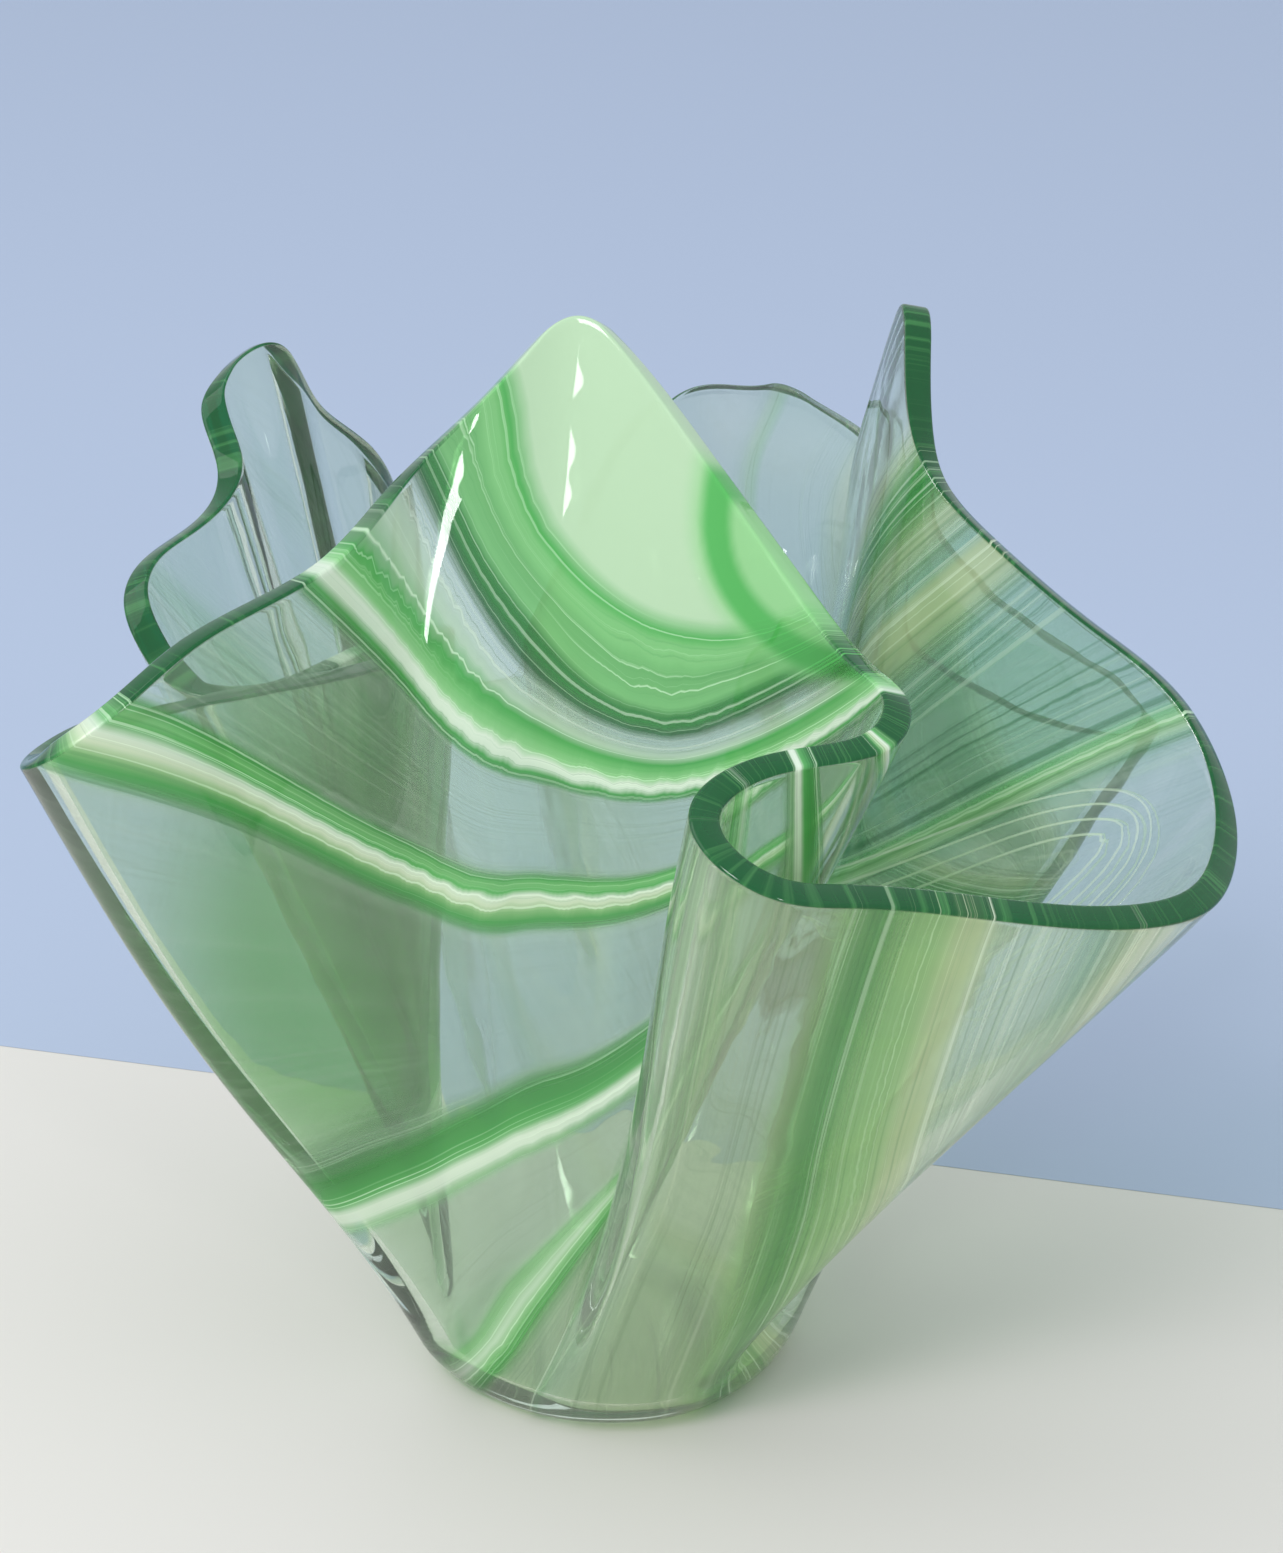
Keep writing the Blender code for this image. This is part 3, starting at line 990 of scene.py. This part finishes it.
def glass_surface(n, colour, clear):
    """Rippled glass that lets light through by its clear share."""
    shader = n.add("ShaderNodeBsdfPrincipled")
    n.feed(shader.inputs["Base Color"], colour)
    n.feed(shader.inputs["Transmission Weight"], clear)
    shader.inputs["Roughness"].default_value = GLASS_ROUGHNESS
    shader.inputs["IOR"].default_value = GLASS_IOR
    place = n.add("ShaderNodeTexCoord").outputs["Object"]
    bump = n.add("ShaderNodeBump")
    bump.inputs["Strength"].default_value = 1.0
    bump.inputs["Distance"].default_value = RIPPLE_HEIGHT
    n.feed(bump.inputs["Height"], n.noise(place, RIPPLES_PER_METRE, detail=1.0))
    n.feed(shader.inputs["Normal"], bump.outputs[0])
    return shader.outputs[0]


def streaky_glass():
    material = bpy.data.materials.new("streaky_glass")
    material.use_nodes = True
    material.node_tree.nodes.clear()
    n = Nodes(material.node_tree)
    level, run, edge = n.parts("flow")
    loop, patch, share = n.parts("marks")
    wall_shade = n.parts("painted_double_wall_shade")[0]

    colour, hiding = streak_bands(n, level, run)
    # Painted shade: deeper green where walls are seen through one another
    wall_shading = n.math("MULTIPLY", wall_shade, n.math("SUBTRACT", 1.0, hiding))
    hiding = n.math("ADD", hiding, n.math("MULTIPLY", wall_shading, DOUBLE_WALL_SHADE_HIDING))
    colour, hiding = with_threads(n, level, run, wall_shade, colour, hiding)
    # Where little is hidden, the glass is nearly colourless, except under the painted
    # double-wall shade, which is a deeper green.
    hiding = n.math("MULTIPLY", hiding, share)
    colour = n.mixed(n.mapped(hiding, *COLOURED_RANGE), opaque(CLEAR), colour)
    colour = n.mixed(wall_shading, colour, opaque(DOUBLE_WALL_GREEN))
    colour, hiding = with_marks(n, loop, patch, colour, hiding)
    colour, hiding = with_cut_edge(n, level, run, edge, colour, hiding)

    # Each wall shows its streaks on both faces, so each face hides a part.
    clear = n.math("SQRT", n.math("SUBTRACT", 1.0, hiding))
    # Lamps shine through the clear parts.
    through = n.add("ShaderNodeBsdfTransparent")
    n.feed(through.inputs[0], n.mixed(clear, DEEP_SHADOW, colour))
    path = n.add("ShaderNodeLightPath")
    passing = n.math("MAXIMUM", path.outputs["Is Shadow Ray"], path.outputs["Is Diffuse Ray"])
    mix = n.add("ShaderNodeMixShader")
    shaders = (passing, glass_surface(n, colour, clear), through.outputs[0])
    for socket, value in zip(mix.inputs, shaders):
        n.feed(socket, value)
    out = n.add("ShaderNodeOutputMaterial")
    n.feed(out.inputs["Surface"], mix.outputs[0])
    return material


def build_vase():
    obj = bpy.data.objects.new("streaky_glass_sheet", sheet_mesh())
    bpy.context.scene.collection.objects.link(obj)
    obj.data.materials.append(streaky_glass())
    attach(obj, "root")
    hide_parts("glass_sheet")


# Stage: a pale floor, and on it a sheet of pale blue paper whose near edge lies behind the vase
# and passes through two places, where the photo's background starts.
STAGE_HALF = 3.0
FLOOR_COLOUR = (230, 225, 217)
FLOOR_ROUGHNESS = 0.7
FLOOR_LIFT = -0.10 * MM
PAPER_COLOUR = (182, 195, 217)
PAPER_ROUGHNESS = 0.8
PAPER_LIFT = -0.05 * MM
PAPER_EDGE_LEFT = (-85.0 * MM, 84.0 * MM)
PAPER_EDGE_RIGHT = (86.0 * MM, 35.0 * MM)


def plain_material(name, colour, roughness):
    material = bpy.data.materials.new(name)
    material.use_nodes = True
    shader = material.node_tree.nodes["Principled BSDF"]
    shader.inputs["Base Color"].default_value = opaque(colour)
    shader.inputs["Roughness"].default_value = roughness
    return material


def flat_piece(name, corners, material, lift):
    mesh = bpy.data.meshes.new(name)
    mesh.from_pydata([(x, y, lift) for x, y in corners], [], [tuple(range(len(corners)))])
    obj = bpy.data.objects.new(name, mesh)
    obj.data.materials.append(material)
    bpy.context.scene.collection.objects.link(obj)


def paper_edge(x):
    """Place of the paper's near edge at this x."""
    (left, left_y), (right, right_y) = PAPER_EDGE_LEFT, PAPER_EDGE_RIGHT
    return (x, left_y + (x - left) * (right_y - left_y) / (right - left))


def build_stage():
    half = STAGE_HALF
    back = [(half, half), (-half, half)]
    floor = plain_material("pale_floor", FLOOR_COLOUR, FLOOR_ROUGHNESS)
    flat_piece("floor", [(-half, -half), (half, -half), *back], floor, FLOOR_LIFT)
    paper = plain_material("pale_paper", PAPER_COLOUR, PAPER_ROUGHNESS)
    flat_piece("paper", [paper_edge(-half), paper_edge(half), *back], paper, PAPER_LIFT)


# Light: the room, and lamps by name, place, size and power. They aim at the vase's middle.
ROOM_COLOUR = (0.86, 0.92, 1.0, 1.0)
ROOM_STRENGTH = 0.80
LAMPS = (
    ("window_front", (-0.45, -0.75, 0.85), (0.35, 0.45), 5.6),
    ("window_low", (0.55, -1.10, 0.42), (0.10, 0.26), 1.6),
    ("lamp_left", (-0.8, 0.1, 0.9), (0.8, 0.8), 2.0),
)
LAMP_AIM = (0.0, 0.0, 60.0 * MM)


def area_light(name, place, size, power):
    light = bpy.data.lights.new(name, "AREA")
    light.shape = "RECTANGLE"
    light.size, light.size_y = size
    light.energy = power
    obj = bpy.data.objects.new(name, light)
    obj.location = place
    aim = Vector(LAMP_AIM) - Vector(place)
    obj.rotation_euler = aim.to_track_quat("-Z", "Y").to_euler()
    bpy.context.scene.collection.objects.link(obj)


def build_light():
    world = bpy.data.worlds.new("soft_room")
    world.use_nodes = True
    background = world.node_tree.nodes["Background"]
    background.inputs[0].default_value = ROOM_COLOUR
    background.inputs[1].default_value = ROOM_STRENGTH
    bpy.context.scene.world = world
    for lamp in LAMPS:
        area_light(*lamp)
    bpy.context.scene.view_settings.view_transform = "Standard"


# Camera: it looks down at the vase, as in the photo. Lens and sensor are in millimetres.
CAMERA_LENS = 95.6
CAMERA_SENSOR = 36.0
CAMERA_PLACE = (4.0 * MM, -434.5 * MM, 244.3 * MM)
CAMERA_LOOKS_DOWN = math.radians(21.5)
CAMERA_CLIP = 10.0 * MM


def build_camera():
    camera = bpy.data.cameras.new("portrait")
    camera.sensor_fit = "VERTICAL"
    camera.sensor_height = CAMERA_SENSOR
    camera.lens = CAMERA_LENS
    camera.clip_start = CAMERA_CLIP
    obj = bpy.data.objects.new("portrait", camera)
    obj.location = CAMERA_PLACE
    obj.rotation_euler = Euler((math.pi / 2.0 - CAMERA_LOOKS_DOWN, 0.0, 0.0))
    bpy.context.scene.collection.objects.link(obj)
    bpy.context.scene.camera = obj


build_camera()
build_vase()
build_stage()
build_light()
